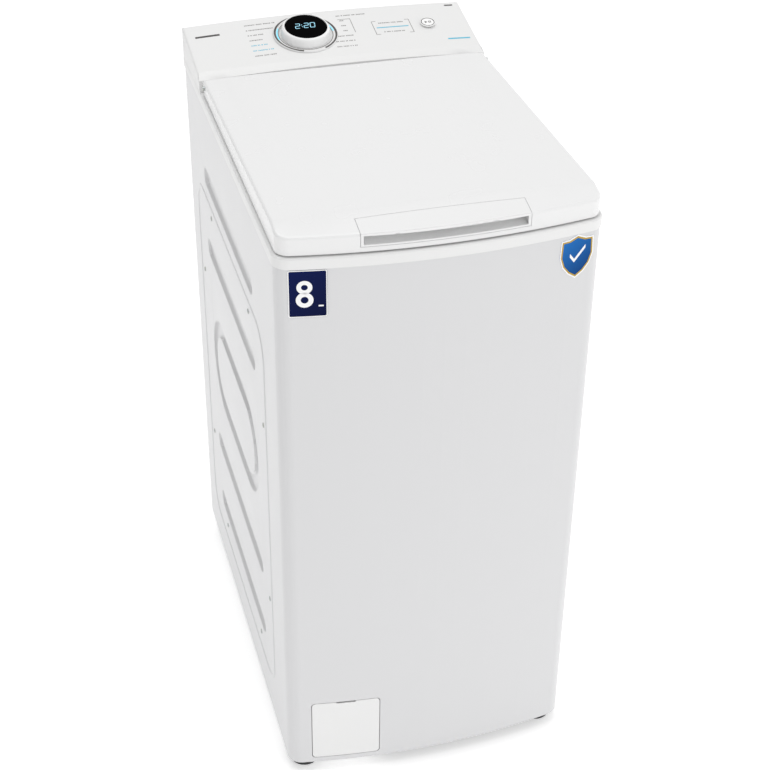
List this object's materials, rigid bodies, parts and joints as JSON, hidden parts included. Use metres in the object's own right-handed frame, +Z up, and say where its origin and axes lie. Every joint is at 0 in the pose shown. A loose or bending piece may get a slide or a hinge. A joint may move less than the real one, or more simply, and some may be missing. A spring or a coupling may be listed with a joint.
{
  "type": "top load washing machine",
  "caption": "Narrow top load washing machine with a bowed front, a hinged lid, a sloping control panel with a round knob, and a level-axis drum hung inside.",
  "frame": {"origin": "on the floor, under the middle of the cabinet's box", "axes": "+X to the right seen from the front, -Y to the front, +Z up"},
  "size_m": [0.4, 0.61, 0.8833],
  "materials": {
    "painted_steel": "smooth white enamel",
    "white_plastic": "fine satin moulded plastic",
    "lid_plastic": "smooth glossy plastic",
    "grey_plastic": "moulded plastic",
    "dark_grey_plastic": "matte plastic",
    "tray_blue": "moulded polypropylene",
    "black_glass": "glossy black display cover",
    "tub_plastic": "glass filled polypropylene",
    "stainless": "brushed stainless steel",
    "zinc_steel": "zinc plated steel",
    "cast_aluminium": "cast aluminium",
    "concrete": null,
    "spring_steel": "oiled spring steel",
    "black_rubber": "matte rubber",
    "grey_rubber": "matte rubber",
    "circuit_board": "circuit board",
    "navy_print": "printed film",
    "blue_print": "printed film"
  },
  "bodies": {
    "cabinet": {"left_side_panel": "painted_steel", "right_side_panel": "painted_steel", "front_panel": "painted_steel", "rear_panel": "zinc_steel", "transit_bolt_plugs": "grey_plastic", "panel_screws": "zinc_steel", "base_frame": "dark_grey_plastic", "foot_lock_nuts": "zinc_steel", "top_frame": "white_plastic", "console_housing": "white_plastic", "lid_hinge_pins": "zinc_steel", "knob_trim_ring": "white_plastic", "display_window": "black_glass", "control_board": "circuit_board", "lid_lock": "dark_grey_plastic", "filter_recess": "white_plastic", "drain_pump": "grey_plastic", "drain_pipe": "grey_plastic", "inlet_valve": "grey_plastic", "cord_gland": "black_rubber", "rear_electrics": "grey_plastic", "suspension_rails": "zinc_steel", "damper_cases": "grey_plastic", "capacity_label": "navy_print", "shield_label": "blue_print"},
    "lid": {"lid_outer": "lid_plastic", "lid_handle": "lid_plastic", "lid_liner": "white_plastic", "lid_hook": "dark_grey_plastic"},
    "detergent_tray": {"detergent_tray": "tray_blue"},
    "program_knob": {"program_knob": "white_plastic"},
    "start_button": {"start_button": "white_plastic"},
    "lock_bolt": {"lock_bolt": "zinc_steel"},
    "tub": {"tub_left_half": "tub_plastic", "tub_right_half": "tub_plastic", "tub_bearings": "zinc_steel", "tub_seals": "black_rubber", "heater": "stainless", "counterweights": "concrete", "motor_case": "cast_aluminium", "drive_belt": "black_rubber", "damper_rods": "zinc_steel", "suspension_springs": "spring_steel", "bellows": "grey_rubber", "sump_hose": "black_rubber"},
    "drum": {"drum_shell": "stainless", "drum_ends": "stainless", "drum_lifters": "tub_plastic", "flap_hinge_pins": "stainless", "drum_pulley": "cast_aluminium"},
    "front_flap": {"front_flap": "stainless"},
    "rear_flap": {"rear_flap": "stainless"},
    "latch_button": {"latch_button": "grey_plastic"},
    "motor_rotor": {"motor_rotor": "zinc_steel"},
    "filter_flap": {"filter_flap": "white_plastic"},
    "filter_cap": {"filter_cap": "grey_plastic"},
    "foot_front_left": {"foot_front_left": "black_rubber"},
    "foot_front_right": {"foot_front_right": "black_rubber"},
    "foot_rear_left": {"foot_rear_left": "black_rubber"},
    "foot_rear_right": {"foot_rear_right": "black_rubber"}
  },
  "joints": [
    {"name": "lid_hinge", "type": "hinge", "parent": "cabinet", "child": "lid", "pos_m": [0, 0.158, 0.84], "axis": [-1, 0, 0], "range_deg": [0, 95]},
    {"name": "tray_slide", "type": "slide", "parent": "lid", "child": "detergent_tray", "axis": [0, -1, 0], "range_m": [0, 0.03]},
    {"name": "knob_turn", "type": "hinge", "parent": "cabinet", "child": "program_knob", "pos_m": [-0.037, 0.247, 0.86427], "axis": [0, -0.1885, 0.9821], "continuous": true},
    {"name": "start_press", "type": "slide", "parent": "cabinet", "child": "start_button", "axis": [0, 0.1885, -0.9821], "range_m": [0, 0.0015], "stiffness_N_per_m": 800, "springref_m": -0.0008},
    {"name": "lock_bolt_slide", "type": "slide", "parent": "cabinet", "child": "lock_bolt", "axis": [0, -1, 0], "range_m": [0, 0.008]},
    {"name": "suspension_travel", "type": "slide", "parent": "cabinet", "child": "tub", "axis": [0, 0, 1], "range_m": [-0.012, 0.012], "stiffness_N_per_m": 16000, "springref_m": 0.02486, "deforming": ["suspension_springs", "bellows", "sump_hose"]},
    {"name": "drum_spin", "type": "hinge", "parent": "tub", "child": "drum", "pos_m": [-0.006, -0.035, 0.405], "axis": [1, 0, 0], "range_deg": [-3600, 3600]},
    {"name": "motor_spin", "type": "hinge", "parent": "tub", "child": "motor_rotor", "pos_m": [0.02, 0.15, 0.105], "axis": [1, 0, 0], "range_deg": [-46000, 46000]},
    {"name": "front_flap_hinge", "type": "hinge", "parent": "drum", "child": "front_flap", "pos_m": [-0.006, -0.13907, 0.60223], "axis": [1, 0, 0], "range_deg": [0, 80]},
    {"name": "rear_flap_hinge", "type": "hinge", "parent": "drum", "child": "rear_flap", "pos_m": [-0.006, 0.06907, 0.60223], "axis": [-1, 0, 0], "range_deg": [0, 80]},
    {"name": "flap_latch_press", "type": "slide", "parent": "front_flap", "child": "latch_button", "axis": [0, 0, -1], "range_m": [0, 0.003], "stiffness_N_per_m": 300, "springref_m": -0.002},
    {"name": "filter_flap_hinge", "type": "hinge", "parent": "cabinet", "child": "filter_flap", "pos_m": [-0.12052, -0.29112, 0.0335], "axis": [0.9928, -0.1201, 0], "range_deg": [0, 90]},
    {"name": "filter_cap_turn", "type": "hinge", "parent": "cabinet", "child": "filter_cap", "pos_m": [-0.121, -0.267, 0.08], "axis": [0, -1, 0], "range_deg": [0, 90]},
    {"name": "foot_front_left_height", "type": "slide", "parent": "cabinet", "child": "foot_front_left", "axis": [0, 0, -1], "range_m": [0, 0.012]},
    {"name": "foot_front_right_height", "type": "slide", "parent": "cabinet", "child": "foot_front_right", "axis": [0, 0, -1], "range_m": [0, 0.012]},
    {"name": "foot_rear_left_height", "type": "slide", "parent": "cabinet", "child": "foot_rear_left", "axis": [0, 0, -1], "range_m": [0, 0.012]},
    {"name": "foot_rear_right_height", "type": "slide", "parent": "cabinet", "child": "foot_rear_right", "axis": [0, 0, -1], "range_m": [0, 0.012]}
  ],
  "couplings": [
    {"joint": "motor_spin", "follows": "drum_spin", "ratio": 12.727}
  ]
}
